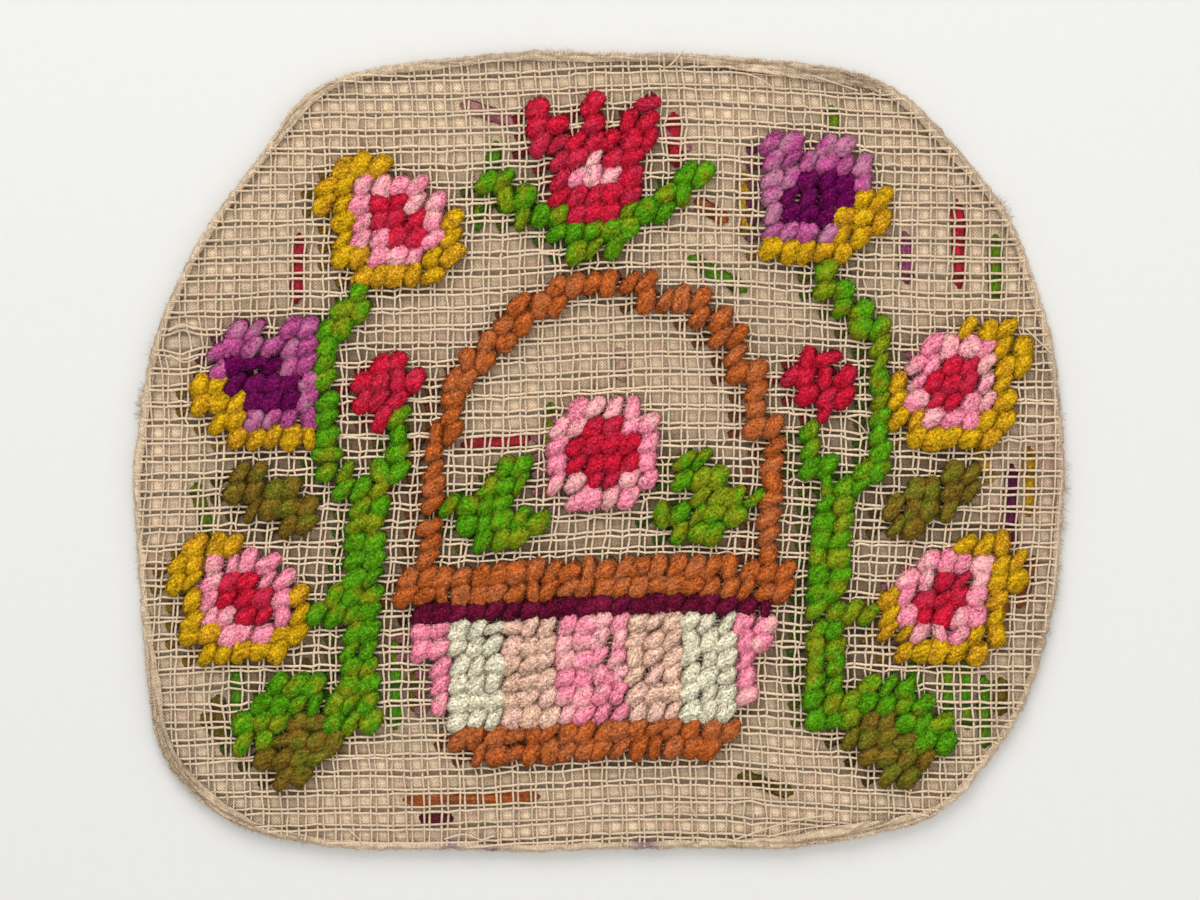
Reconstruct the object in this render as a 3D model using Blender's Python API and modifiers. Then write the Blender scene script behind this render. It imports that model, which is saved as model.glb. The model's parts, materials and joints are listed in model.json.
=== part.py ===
# Needlework sampler: wool tent stitch on double-thread canvas, laid on a backing cloth whose
# edge is rolled over it as a narrow hem. It lies flat, face up: +X right, +Y to the top of the
# design, +Z out of the face, with the origin under its middle.

import math

import bmesh
import bpy
from mathutils import Vector

MM = 0.001

# Sizes of the canvas weave and its sheet
MESH_PITCH = 3.175 * MM  # eight double threads to the inch
CANVAS_THICKNESS = 1.0 * MM
CANVAS_RINGS = (1.0, 0.95, 0.89, 0.79, 0.66, 0.51, 0.35, 0.18)  # shares of the way to the edge
PUCKER_HEIGHT = 0.3 * MM  # how far the floats on the back lift the canvas
PUCKER_WAVES = ((52.0, 0.3), (64.0, 0.9))  # across and up: length (mm), start (radians)
FADE_START = 0.9  # the pucker dies away here, as a share of the way to the edge
FADE_LENGTH = 0.18
HALF_WIDTH = 82 * MM
HALF_DEPTH = 70 * MM
ROUNDNESS = 2.8  # 2 would be an ellipse

# Sizes of the backing cloth and its hem
CLOTH_THICKNESS = 1.0 * MM
HEM_WIDTH = 2.3 * MM
HEM_HEIGHT = 3.4 * MM
HEM_WALL = 1.1 * MM  # from the outer edge in to where the canvas is held
FLAP_SLOPE = (0.7, 0.2 * MM)  # the flap's fall towards its tip: share of its width, drop
OUTLINE_SIDES = 84

# The hem's rolled edge, from the surface up to its crest: how far in (mm), share of its height
HEM_ROLL = ((0.9, 0.0), (0.25, 0.22), (0.0, 0.5), (0.3, 0.85), (1.1, 1.0))

# Sizes of the wool
WOOL_THICKNESS = 1.0 * MM
STITCH_CROWN = 0.5 * MM
PATCH_INSET = 0.17 * MM  # leaves a little over 0.3 mm between two colours
GAP = 0.3 * MM

CLOTH_TOP = CLOTH_THICKNESS
CANVAS_UNDERSIDE = CLOTH_TOP + GAP
CANVAS_TOP = CANVAS_UNDERSIDE + CANVAS_THICKNESS
FLAP_UNDERSIDE = CANVAS_TOP + GAP
FLAP_TIP = FLAP_UNDERSIDE + 0.35 * MM

# The cut outline, clockwise from the corner at the upper left: across, up (mm)
OUTLINE = (
    (-49.4, 65.2),
    (-31.9, 69.4),
    (-7.0, 71.1),
    (14.4, 71.1),
    (35.8, 69.2),
    (48.8, 66.7),
    (58.0, 59.7),
    (72.2, 42.6),
    (79.0, 25.2),
    (82.6, 6.6),
    (82.8, -9.0),
    (80.5, -28.2),
    (76.6, -42.8),
    (68.6, -55.4),
    (60.2, -64.4),
    (46.3, -69.0),
    (28.6, -70.8),
    (-7.0, -70.9),
    (-39.0, -70.7),
    (-53.2, -69.6),
    (-65.8, -66.2),
    (-74.6, -59.4),
    (-79.3, -49.7),
    (-81.3, -33.6),
    (-82.6, -8.7),
    (-81.8, 8.5),
    (-77.8, 24.6),
    (-68.9, 42.2),
    (-58.9, 55.2),
)

# Where the rolled hem bunches or thins: place as a share of the way round, spread of it,
# extra width (mm), extra height (mm)
HEM_BUNCHES = {
    "knot at the top left": (0.02, 0.025, 1.2, 0.25),
    "roll along the top": (0.09, 0.040, 0.8, 0.45),
    "gather at the top right": (0.20, 0.022, 1.5, 0.15),
    "worn right side": (0.33, 0.030, -0.6, -0.15),
    "turn at the lower right": (0.48, 0.025, 0.8, 0.30),
    "thin bottom": (0.60, 0.050, -0.5, -0.10),
    "pleat at the lower left": (0.75, 0.030, 1.6, 0.35),
    "roll on the left": (0.86, 0.030, -0.4, 0.10),
}

# The edge is cut by hand, so it waves: waves round the outline, size (mm), start (radians)
EDGE_WAVES = ((5, 0.25, 0.4), (13, 0.18, 2.1), (22, 0.12, 4.0))

# Creases in the canvas, as soft ridges: start and end (mm, across and up), width, height (mm)
CREASES = (
    ((-74.0, -38.0), (-50.0, -61.0), 5.0, 0.20),
    ((-64.0, 44.0), (-40.0, 60.0), 5.0, 0.15),
    ((56.0, -56.0), (73.0, -30.0), 5.0, 0.18),
)

# The weave has been pulled out of square: how far (mm), over what length (mm), start (radians)
DRIFT_ACROSS = ((1.0, 150.0, 0.5), (0.4, 61.0, 2.0))
DRIFT_UP = ((1.2, 170.0, 1.2), (0.4, 73.0, 0.3))

# Yarns: red, green and blue
YARNS = {
    "green": (0.062, 0.305, 0.007),
    "olive": (0.188, 0.127, 0.007),
    "gold": (0.610, 0.352, 0.007),
    "crimson": (0.578, 0.010, 0.038),
    "pink": (0.913, 0.205, 0.429),
    "blush": (0.752, 0.429, 0.352),
    "white": (0.752, 0.716, 0.578),
    "rust": (0.485, 0.102, 0.017),
    "maroon": (0.102, 0.003, 0.026),
    "purple": (0.091, 0.001, 0.114),
    "mauve": (0.485, 0.091, 0.352),
}
CLOTH_COLOUR = (0.610, 0.485, 0.330)
CANVAS_COLOUR = (0.752, 0.610, 0.402)

# Motifs as they are worked, one letter for each stitch. A letter stands for a yarn of MOTIFS.
CHARTS = {
    "blossom": (
        ".aaa....",
        "aabbbb..",
        "aabccbb.",
        ".abcccba",
        ".abbccba",
        ".aabbbaa",
        "..aaaaa.",
    ),
    "pansy": (
        "..bb.bb",
        ".bbbbbb",
        ".bcccbb",
        "aaccccb",
        "aaacccb",
        ".aabbbb",
        "..aaaaa",
    ),
    "tulip": (
        "a..a..a",
        "aa.a.aa",
        "aaaaaaa",
        ".aabaa.",
        ".abbba.",
        ".aaaaa.",
        "..aaa..",
    ),
    "rose": (
        ".bbbb.",
        "bbaabb",
        "baaaab",
        "baaaab",
        "bbaabb",
        ".bbbb.",
    ),
    "bud": (
        ".aa.",
        "aaaa",
        "aaa.",
        ".a..",
    ),
    "leaf": (
        "aa...",
        "aaaa.",
        ".aaaa",
        "...aa",
    ),
    "frond": (
        "...aa.",
        "..aaa.",
        "aaaa..",
        ".aaaaa",
        "..aaa.",
    ),
    "clump": (
        "..aaa..",
        ".aaaaa.",
        "aaabbaa",
        "aabbbb.",
        ".bbbb..",
        "..bb...",
    ),
    "basket": (
        "rrrrrrrrrrrrrrrrrrrrrr",
        "rrrrrrrrrrrrrrrrrrrrrr",
        ".mmmmmmmmmmmmmmmmmmmm.",
        ".ppwwwbbbppppbbbwwwpp.",
        ".ppwwwbbbppppbbbwwwpp.",
        "..pwwwbbbppppbbbwwwp..",
        "..pwwwbbbppppbbbwwwp..",
        "..pwwwbbbppppbbbwwwp..",
        "...wwwbbbppppbbbwww...",
        "...rrrrrrrrrrrrrrrr...",
        "....rrrrrrrrrrrrrr....",
    ),
}

FLOWER = {"a": "gold", "b": "pink", "c": "crimson"}
NIGHT_FLOWER = {"a": "gold", "b": "mauve", "c": "purple"}
BASKETWORK = {"r": "rust", "m": "maroon", "p": "pink", "w": "white", "b": "blush"}

# Where each motif is worked: name, chart, its left column and top row, mirrored, yarns
MOTIFS = (
    ("basket", "basket", 15, 29, False, BASKETWORK),
    ("tulip", "tulip", 22, 3, False, {"a": "crimson", "b": "pink"}),
    ("rose", "rose", 23, 20, False, {"a": "crimson", "b": "pink"}),
    ("top_left_blossom", "blossom", 10, 6, False, FLOWER),
    ("top_right_pansy", "pansy", 35, 5, True, NIGHT_FLOWER),
    ("left_pansy", "pansy", 3, 15, False, NIGHT_FLOWER),
    ("right_blossom", "blossom", 42, 15, True, FLOWER),
    ("low_left_blossom", "blossom", 2, 27, False, FLOWER),
    ("low_right_blossom", "blossom", 42, 27, True, FLOWER),
    ("left_bud", "bud", 12, 17, False, {"a": "crimson"}),
    ("right_bud", "bud", 36, 17, True, {"a": "crimson"}),
    ("left_clump", "clump", 6, 35, False, {"a": "green", "b": "olive"}),
    ("right_clump", "clump", 39, 35, True, {"a": "green", "b": "olive"}),
    ("left_frond", "frond", 17, 23, False, {"a": "green"}),
    ("right_frond", "frond", 29, 23, True, {"a": "green"}),
    ("left_leaf", "leaf", 5, 23, False, {"a": "olive"}),
    ("right_leaf", "leaf", 42, 23, True, {"a": "olive"}),
)

# Lines of stitches from hole to hole: name, yarn, stitches wide, routes of turning points
LINES = (
    ("handle", "rust", 1, (
        ((16, 28), (16, 22), (18, 17), (21, 14), (25, 13)),
        ((25, 13), (30, 14), (33, 17), (35, 22), (35, 28)),
    )),
    ("left_stem", "green", 2, (((12, 37), (12, 25)),)),
    ("left_stem", "green", 1, (
        ((12, 25), (10, 22), (10, 16), (12, 13)),
        ((13, 25), (14, 20)),
        ((12, 30), (10, 31)),
    )),
    ("right_stem", "green", 2, (((38, 37), (38, 25)),)),
    ("right_stem", "green", 1, (
        ((39, 25), (41, 22), (41, 16), (38, 12)),
        ((38, 25), (37, 21)),
        ((39, 31), (41, 31)),
    )),
    ("top_stem", "green", 1, (
        ((25, 10), (25, 11), (19, 7)),
        ((25, 11), (31, 7)),
    )),
)
MIDDLE_COLUMN = 25.5
MIDDLE_ROW = 22.0

# The corners of a stitch, counter-clockwise from below left: across, up
CORNERS = ((-1, -1), (1, -1), (1, 1), (-1, 1))


def clear_scene():
    for item in list(bpy.data.objects):
        bpy.data.objects.remove(item, do_unlink=True)


def make_material(name, colour, roughness):
    material = bpy.data.materials.new(name)
    material.use_nodes = True
    shader = material.node_tree.nodes["Principled BSDF"]
    shader.inputs["Base Color"].default_value = (*colour, 1.0)
    shader.inputs["Roughness"].default_value = roughness
    shader.inputs["Metallic"].default_value = 0.0
    return material


def add_object(collection, name, bm, material):
    bmesh.ops.recalc_face_normals(bm, faces=bm.faces[:])
    mesh = bpy.data.meshes.new(name)
    bm.to_mesh(mesh)
    bm.free()
    mesh.materials.append(material)
    made = bpy.data.objects.new(name, mesh)
    collection.objects.link(made)
    return made


# The outline

def spline_point(points, place):
    """A point of the smooth closed curve through the points. place counts them from 0."""
    first = math.floor(place)
    along = place - first
    before, start, end, after = (points[(first + step) % len(points)] for step in (-1, 0, 1, 2))
    bend = 2 * before - 5 * start + 4 * end - after
    twist = 3 * start - before - 3 * end + after
    return 0.5 * (2 * start + (end - before) * along + bend * along**2 + twist * along**3)


def outline_points():
    """Points at even distances along the cut edge, with the edge's waves, about its middle."""
    corners = [Vector((across * MM, up * MM)) for across, up in OUTLINE]
    steps_a_corner = 16
    fine = [
        spline_point(corners, step / steps_a_corner)
        for step in range(len(corners) * steps_a_corner + 1)
    ]
    reached = [0.0]
    for start, end in zip(fine, fine[1:]):
        reached.append(reached[-1] + (end - start).length)
    points = []
    step = 0
    for side in range(OUTLINE_SIDES):
        target = reached[-1] * side / OUTLINE_SIDES
        while reached[step + 1] < target:
            step += 1
        share = (target - reached[step]) / (reached[step + 1] - reached[step])
        point = fine[step].lerp(fine[step + 1], share)
        wave = sum(
            size * MM * math.sin(math.tau * count * side / OUTLINE_SIDES + start)
            for count, size, start in EDGE_WAVES
        )
        points.append(point * (1 + wave / point.length))
    middle = Vector((
        (min(p.x for p in points) + max(p.x for p in points)) / 2,
        (min(p.y for p in points) + max(p.y for p in points)) / 2,
    ))
    return [point - middle for point in points]


def inward_directions(points):
    directions = []
    for index in range(len(points)):
        along = points[(index + 1) % len(points)] - points[index - 1]
        directions.append(Vector((along.y, -along.x)).normalized())
    return directions


def moved_in(points, distances):
    """The outline moved in by a distance at each of its points."""
    return [
        point + direction * distance
        for point, direction, distance in zip(points, inward_directions(points), distances)
    ]


def add_ring(bm, points, heights):
    return [bm.verts.new((p.x, p.y, height)) for p, height in zip(points, heights)]


def join_rings(bm, lower, upper):
    count = len(lower)
    for index in range(count):
        after = (index + 1) % count
        bm.faces.new((lower[index], lower[after], upper[after], upper[index]))


# The backing cloth and its hem

def hem_size(share):
    """The hem's width and height at a share of the way round the outline."""
    width = HEM_WIDTH
    height = HEM_HEIGHT
    for place, spread, wider, higher in HEM_BUNCHES.values():
        away = abs(share - place)
        away = min(away, 1 - away)
        swell = math.exp(-((away / spread) ** 2))
        width += wider * MM * swell
        height += higher * MM * swell
    return width, height


def make_backing_cloth(collection, outline):
    sections = []
    for side in range(OUTLINE_SIDES):
        width, height = hem_size(side / OUTLINE_SIDES)
        section = [(inset * MM, share * height) for inset, share in HEM_ROLL]
        section += [
            (FLAP_SLOPE[0] * width, height - FLAP_SLOPE[1]),
            (width, FLAP_TIP),
            (width, FLAP_UNDERSIDE),
            (HEM_WALL, FLAP_UNDERSIDE),
            (HEM_WALL, CLOTH_TOP),
        ]
        sections.append(section)
    bm = bmesh.new()
    rings = []
    for places in zip(*sections):
        ring = moved_in(outline, [inset for inset, height in places])
        rings.append(add_ring(bm, ring, [height for inset, height in places]))
    for lower, upper in zip(rings, rings[1:]):
        join_rings(bm, lower, upper)
    bm.faces.new(rings[0])
    bm.faces.new(rings[-1])
    add_object(collection, "backing_cloth", bm, make_material("cloth", CLOTH_COLOUR, 0.9))


# The canvas

def smooth_step(value):
    value = min(max(value, 0.0), 1.0)
    return value * value * (3 - 2 * value)


def crease_rise(place):
    rise = 0.0
    for start, end, width, height in CREASES:
        start = Vector(start) * MM
        run = Vector(end) * MM - start
        along = min(max((place - start).dot(run) / run.length_squared, 0.0), 1.0)
        away = (place - start - run * along).length
        rise += height * MM * math.exp(-((away / (width * MM)) ** 2))
    return rise


def canvas_rise(across, up):
    """How far the canvas stands above its lowest lie. It is flat under the hem."""
    reach = (abs(across) / HALF_WIDTH) ** ROUNDNESS + (abs(up) / HALF_DEPTH) ** ROUNDNESS
    fade = smooth_step((FADE_START - reach ** (1 / ROUNDNESS)) / FADE_LENGTH)
    wave = 1.0
    for place, (length, start) in zip((across, up), PUCKER_WAVES):
        wave *= math.sin(math.tau * place / (length * MM) + start)
    return PUCKER_HEIGHT * fade * (1 + wave) + crease_rise(Vector((across, up)))


def make_canvas(collection, outline):
    edge = moved_in(outline, [HEM_WALL + GAP] * OUTLINE_SIDES)
    bm = bmesh.new()
    rings = []
    for share in CANVAS_RINGS:
        ring = [point * share for point in edge]
        is_edge = share == CANVAS_RINGS[0]
        heights = [CANVAS_TOP if is_edge else CANVAS_TOP + canvas_rise(p.x, p.y) for p in ring]
        rings.append(add_ring(bm, ring, heights))
    for outer, inner in zip(rings, rings[1:]):
        join_rings(bm, outer, inner)
    middle = bm.verts.new((0.0, 0.0, CANVAS_TOP + canvas_rise(0.0, 0.0)))
    innermost = rings[-1]
    for index, point in enumerate(innermost):
        bm.faces.new((point, innermost[(index + 1) % OUTLINE_SIDES], middle))
    canvas = add_object(collection, "canvas", bm, make_material("canvas", CANVAS_COLOUR, 0.9))
    thickness = canvas.modifiers.new("thickness", "SOLIDIFY")
    thickness.thickness = CANVAS_THICKNESS
    thickness.offset = -1.0


# The wool

def waves_at(table, place):
    return sum(
        size * MM * math.sin(math.tau * place / (length * MM) + start)
        for size, length, start in table
    )


def drifted(across, up):
    """Where a place on the square weave has moved to."""
    return across + waves_at(DRIFT_ACROSS, up), up + waves_at(DRIFT_UP, across)


def line_cells(start, end):
    """The stitches side by side from one turning point to the next."""
    across = end[0] - start[0]
    down = end[1] - start[1]
    steps = abs(across) + abs(down)
    for step in range(steps + 1):
        sideways = int(abs(across) * step / steps + 0.5)
        column = start[0] + int(math.copysign(sideways, across))
        row = start[1] + int(math.copysign(step - sideways, down))
        yield column, row


def worked_cells():
    """Each stitch's column and row, with the patch that it belongs to: a name and a yarn."""
    stitches = {}
    for name, chart, left, top, mirrored, yarns in MOTIFS:
        for row, marks in enumerate(CHARTS[chart]):
            for column, mark in enumerate(reversed(marks) if mirrored else marks):
                if mark != ".":
                    stitches[left + column, top + row] = (name, yarns[mark])
    for name, yarn, wide, routes in LINES:
        for route in routes:
            for start, end in zip(route, route[1:]):
                for column, row in line_cells(start, end):
                    for beside in range(wide):
                        stitches.setdefault((column + beside, row), (name, yarn))
    return stitches


def joined_groups(cells):
    """The cells split into groups whose stitches lie side by side, from left to right."""
    left = set(cells)
    groups = []
    while left:
        group = {min(left)}
        edge = list(group)
        while edge:
            column, row = edge.pop()
            beside = {(column + 1, row), (column - 1, row), (column, row + 1), (column, row - 1)}
            found = (beside & left) - group
            group |= found
            edge += sorted(found)
        left -= group
        groups.append(group)
    return groups


def sign(value):
    return (value > 0) - (value < 0)


def corner_point(bm, points, cells, cell, corner):
    """A corner of a stitch, shared with those beside it and drawn in from the patch's edge."""
    across, up = corner
    place = (2 * cell[0] + across, 2 * cell[1] - up)  # in half stitches, rows counted down
    meeting = [
        (side, rise)
        for side, rise in CORNERS
        if ((place[0] + side) // 2, (place[1] - rise) // 2) in cells
    ]
    key = place
    if len(meeting) == 2 and all(one != other for one, other in zip(*meeting)):
        # Two stitches that meet only here keep their corners apart
        meeting = [(-across, -up)]
        key = (place, cell)
    if key not in points:
        drawn_right = sign(sum(side for side, rise in meeting)) * PATCH_INSET
        drawn_up = sign(sum(rise for side, rise in meeting)) * PATCH_INSET
        points[key] = bm.verts.new((
            (place[0] / 2 - MIDDLE_COLUMN) * MESH_PITCH + drawn_right,
            (MIDDLE_ROW - place[1] / 2) * MESH_PITCH + drawn_up,
            0.0,
        ))
    return points[key]


def make_patch(collection, name, cells, material):
    """One colour of a motif: a raised body with a crown for each stitch, lying on the canvas."""
    bm = bmesh.new()
    points = {}
    for cell in sorted(cells):
        bm.faces.new([corner_point(bm, points, cells, cell, corner) for corner in CORNERS])
    raised = bmesh.ops.extrude_face_region(bm, geom=bm.faces[:])["geom"]
    top_points = [part for part in raised if isinstance(part, bmesh.types.BMVert)]
    top_faces = [part for part in raised if isinstance(part, bmesh.types.BMFace)]
    bmesh.ops.translate(bm, verts=top_points, vec=(0.0, 0.0, WOOL_THICKNESS))
    bmesh.ops.recalc_face_normals(bm, faces=bm.faces[:])
    bmesh.ops.poke(bm, faces=top_faces, offset=STITCH_CROWN)
    for point in bm.verts:
        across, up = drifted(point.co.x, point.co.y)
        lie = CANVAS_TOP + GAP + canvas_rise(across, up)
        point.co = Vector((across, up, point.co.z + lie))
    add_object(collection, name, bm, material)


def make_wool(collection):
    patches = {}
    for cell, patch in worked_cells().items():
        patches.setdefault(patch, set()).add(cell)
    materials = {yarn: make_material(yarn + " wool", YARNS[yarn], 0.85) for yarn in YARNS}
    for (motif, yarn), cells in patches.items():
        groups = joined_groups(cells)
        for number, group in enumerate(groups, 1):
            name = f"{motif}_{yarn}_{number}" if len(groups) > 1 else f"{motif}_{yarn}"
            make_patch(collection, name, group, materials[yarn])


def main():
    clear_scene()
    collection = bpy.data.collections.new("needlework_sampler")
    bpy.context.scene.collection.children.link(collection)
    outline = outline_points()
    make_backing_cloth(collection, outline)
    make_canvas(collection, outline)
    make_wool(collection)


main()
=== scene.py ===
import json
import math

import bpy
import numpy as np
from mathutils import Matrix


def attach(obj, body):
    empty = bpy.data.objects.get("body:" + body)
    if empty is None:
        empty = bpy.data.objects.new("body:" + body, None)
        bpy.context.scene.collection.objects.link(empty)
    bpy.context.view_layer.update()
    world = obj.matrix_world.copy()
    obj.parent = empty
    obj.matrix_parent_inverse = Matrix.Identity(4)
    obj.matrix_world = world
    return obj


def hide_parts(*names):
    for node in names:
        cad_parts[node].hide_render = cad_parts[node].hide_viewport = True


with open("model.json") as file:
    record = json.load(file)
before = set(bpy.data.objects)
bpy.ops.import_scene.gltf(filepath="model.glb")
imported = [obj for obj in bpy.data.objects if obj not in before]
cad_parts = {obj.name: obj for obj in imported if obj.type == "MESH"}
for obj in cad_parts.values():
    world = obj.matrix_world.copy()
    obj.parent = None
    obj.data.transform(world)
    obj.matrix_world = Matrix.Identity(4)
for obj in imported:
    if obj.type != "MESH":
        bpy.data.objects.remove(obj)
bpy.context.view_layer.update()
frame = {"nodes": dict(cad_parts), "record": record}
mm = 0.001
tau = math.tau

# Where the canvas lies
lay = {
    "pitch": 3.175,  # from one pair of threads to the next
    "middle": (25.5, 22.0),  # the column and row at the middle of the part
    "columns": 52,
    "rows": 45,
    "driftAcross": ((1.0, 150.0, 0.5), (0.4, 61.0, 2.0)),  # size, length, start
    "driftUp": ((1.2, 170.0, 1.2), (0.4, 73.0, 0.3)),
    "half": (82.0, 70.0),
    "roundness": 2.8,
    "fade": (0.9, 0.18),
    "pucker": 0.3,
    "puckerWaves": ((52.0, 0.3), (64.0, 0.9)),
    "creases": (  # start, end, width, height
        ((-74, -38), (-50, -61), 5, 0.2), ((-64, 44), (-40, 60), 5, 0.15),
        ((56, -56), (73, -30), 5, 0.18),
    ),
}


def waves(table, place):
    return sum(size * np.sin(tau * place / length + start) for size, length, start in table)


def drifted(across, up):  # where a place on the square weave has moved to
    return across + waves(lay["driftAcross"], up), up + waves(lay["driftUp"], across)


def squarePlace(column, row):
    across = (np.asarray(column, float) - lay["middle"][0]) * lay["pitch"]
    up = (lay["middle"][1] - np.asarray(row, float)) * lay["pitch"]
    return drifted(across, up)


def meshPlace(x, y):  # the column and row at a place
    across, up = x, y
    for step in range(6):
        across, up = x - waves(lay["driftAcross"], up), y - waves(lay["driftUp"], across)
    return across / lay["pitch"] + lay["middle"][0], lay["middle"][1] - up / lay["pitch"]


def smoothStep(value):
    value = np.clip(value, 0, 1)
    return value * value * (3 - 2 * value)


def blend(start, end, share):
    return start + (end - start) * share


def falloff(away, reach, power=2):  # 1 here, and near 0 beyond the reach
    return np.exp(-((away / reach) ** power))


def awayFrom(x, y, start, end):  # distance from a short line
    runX, runY = end[0] - start[0], end[1] - start[1]
    along = ((x - start[0]) * runX + (y - start[1]) * runY) / (runX**2 + runY**2 + 1e-9)
    along = np.clip(along, 0, 1)
    return np.hypot(x - start[0] - runX * along, y - start[1] - runY * along)


def rise(x, y):  # how far the canvas is lifted
    power = lay["roundness"]
    reach = (abs(x) / lay["half"][0]) ** power + (abs(y) / lay["half"][1]) ** power
    fade = smoothStep((lay["fade"][0] - reach ** (1 / power)) / lay["fade"][1])
    wave = 1.0
    for place, (length, start) in zip((x, y), lay["puckerWaves"]):
        wave = wave * np.sin(tau * place / length + start)
    lift = lay["pucker"] * fade * (1 + wave)
    for start, end, width, height in lay["creases"]:
        lift = lift + height * falloff(awayFrom(x, y, start, end), width)
    return lift


def ripple(x, y, length, seed):  # smooth uneven ground, mostly from -0.6 to 0.6
    total = 0.0
    for number in range(6):
        turn = seed * 1.7 + number * 2.39
        wave = tau / (length * (0.7 + 0.16 * number))
        total = total + np.sin(wave * (x * math.cos(turn) + y * math.sin(turn)) + seed * 3.1 + number)
    return total / 5


def ripples(table, x, y):
    return sum(size * ripple(x, y, length, seed) for size, length, seed in table)


def nodePoints(name):  # the corners of a CAD node, each once
    mesh = frame["nodes"][name].data
    places = np.empty(len(mesh.vertices) * 3)
    mesh.vertices.foreach_get("co", places)
    return np.unique(np.round(places.reshape(-1, 3) / mm, 3), axis=0)


# The stitches: a wool node has a crown over the middle of each
cells = {}
nodesOf = {}
for part in frame["record"]["subparts"]:
    slotName = part["material_slot"]
    nodesOf.setdefault(slotName, []).append(part["node"])
    if slotName.startswith("yarn_"):
        corners = nodePoints(part["node"])
        column, row = meshPlace(*corners[:, :2].T)
        crown = (abs(column - column.round()) < 0.1) & (abs(row - row.round()) < 0.1)
        found = np.unique(np.stack([column[crown], row[crown]], 1).round().astype(int), axis=0)
        cells.setdefault(slotName[5:], []).append(found)
cells = {yarn: np.concatenate(found) for yarn, found in cells.items()}
spare = 4  # columns and rows kept free round the grid of stitches
worked = np.zeros((lay["rows"] + 2 * spare, lay["columns"] + 2 * spare))
for found in cells.values():
    worked[found[:, 1] + spare, found[:, 0] + spare] = 1
print("stitches:", sum(len(found) for found in cells.values()), "in", len(cells), "yarns")


def blurred(grid, times):
    for step in range(times):
        grid = (grid + np.roll(grid, 1, 0) + np.roll(grid, -1, 0)) / 3
        grid = (grid + np.roll(grid, 1, 1) + np.roll(grid, -1, 1)) / 3
    return grid


def fromGrid(grid, x, y):  # a value of the grid at a place between its stitches
    column, row = meshPlace(x, y)
    column = np.clip(column + spare, 0, grid.shape[1] - 1.001)
    row = np.clip(row + spare, 0, grid.shape[0] - 1.001)
    left, top = column.astype(int), row.astype(int)
    u, v = column - left, row - top
    upper = grid[top, left] * (1 - u) + grid[top, left + 1] * u
    lower = grid[top + 1, left] * (1 - u) + grid[top + 1, left + 1] * u
    return upper * (1 - v) + lower * v


nearWork = np.clip(blurred(worked, 1) * 2.0, 0, 1)
roundWork = np.clip(blurred(worked, 3) * 2.2, 0, 1)

# The hem, clockwise round the cut edge from its corner at the upper left
hem = {
    "corner": (-49.4, 65.2),
    "steps": 960,
    "smoothing": 6,  # rings from one line of the roll to the next
    "width": 1.40,
    "widthWaves": ((0.20, 9.0, 4.0), (0.14, 3.2, 6.0)),  # size, length, seed
    "height": 2.90,
    "heightWaves": ((0.16, 14.0, 8.0), (0.12, 4.0, 9.0)),
    "roll": ((0.9, 0.0), (0.25, 0.22), (0.0, 0.5), (0.22, 0.85), (0.65, 1.0)),  # in, up
    "slope": 0.12,
    "rough": ((0.26, 1.9, 3.0), (0.14, 4.3, 8.0), (0.16, 1.1, 5.0)),  # of the rim
    "wrinkles": ((0.14, 2.4, 5.0), (0.09, 1.2, 2.0)),
    "tip": (2.30, 2.80),  # where the canvas runs over it, where it covers the canvas
    "thick": 0.34,
    "wall": 0.72,
    "floor": 0.85,
    "swells": (  # place, reach, wider, higher, how far it covers the canvas
        ((36, 66.5), 15, 1.6, 0.35, 1), ((-6, 70), 12, 0.5, 0.1, 0.6), ((-30, 68.5), 9, 0.4, 0.15, 0.3),
        ((-54, 62), 8, 0.7, 0.1, 0.6), ((62, 55), 9, 0.8, -0.2, 0.1), ((78, 25), 9, 0.3, 0, 0),
        ((42, -68), 14, 1.5, 0.2, 0.9), ((-71, -58), 13, 1.3, 0.45, 1), ((-80, -42), 7, 0.9, 0.25, 1),
        ((-81, 5), 8, 0.4, 0, 0.1),
    ),
    "folds": 480,  # small folds in the roll
    "foldDepth": (0.12, 0.48),
    "foldWidth": (0.14, 0.36),
    "creaseWidth": 0.20,
    "creases": (  # place, length, place over the roll, slant, depth
        ((-52, -69), 40, 4, 0.2, 0.75), ((-62, -66), 24, 3.1, 0.4, 0.6),
        ((-70, -60), 20, 4.9, -0.5, 0.65), ((-79, -46), 16, 3.6, 0.5, 0.6),
        ((-8, 71), 22, 3.2, 0.7, 0.5), ((12, 70), 20, 3.3, 0.9, 0.6), ((22, 69.5), 12, 4.6, -1.2, 0.6),
        ((27, 69), 12, 3.2, 1.6, 0.6), ((33, 68), 13, 5.2, -1.4, 0.6), ((38, 67), 14, 3.3, 1.5, 0.65),
        ((42, 66), 10, 4.6, -0.6, 0.55), ((60, -61), 26, 3.6, 0.4, 0.65),
        ((52, -66), 14, 4.7, -0.9, 0.6), ((42, -68), 14, 3.3, 0.9, 0.55),
        ((-60, 57), 16, 3.6, 0.2, 0.5), ((-44, 66), 22, 3.3, 0.5, 0.45), ((58, 59), 20, 3.7, 0.3, 0.4),
        ((70, 44), 16, 3.4, 0.2, 0.35),
    ),
}


def bend(before, start, end, after, along):
    curve = 2 * before - 5 * start + 4 * end - after
    twist = 3 * start - before - 3 * end + after
    return 0.5 * (2 * start + (end - before) * along + curve * along**2 + twist * along**3)


def smoothLoop(points, count):
    place = np.arange(count) * len(points) / count
    first = np.floor(place).astype(int)
    along = (place - first)[:, None]
    return bend(*(points[(first + step) % len(points)] for step in (-1, 0, 1, 2)), along)


def smoothLine(rows, steps):
    padded = np.concatenate([2 * rows[:1] - rows[1:2], rows, 2 * rows[-1:] - rows[-2:-1]])
    made = [
        bend(*padded[first - 1:first + 3], step / steps)
        for first in range(1, len(rows))
        for step in range(steps)
    ]
    return np.array(made + [rows[-1]])


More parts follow.
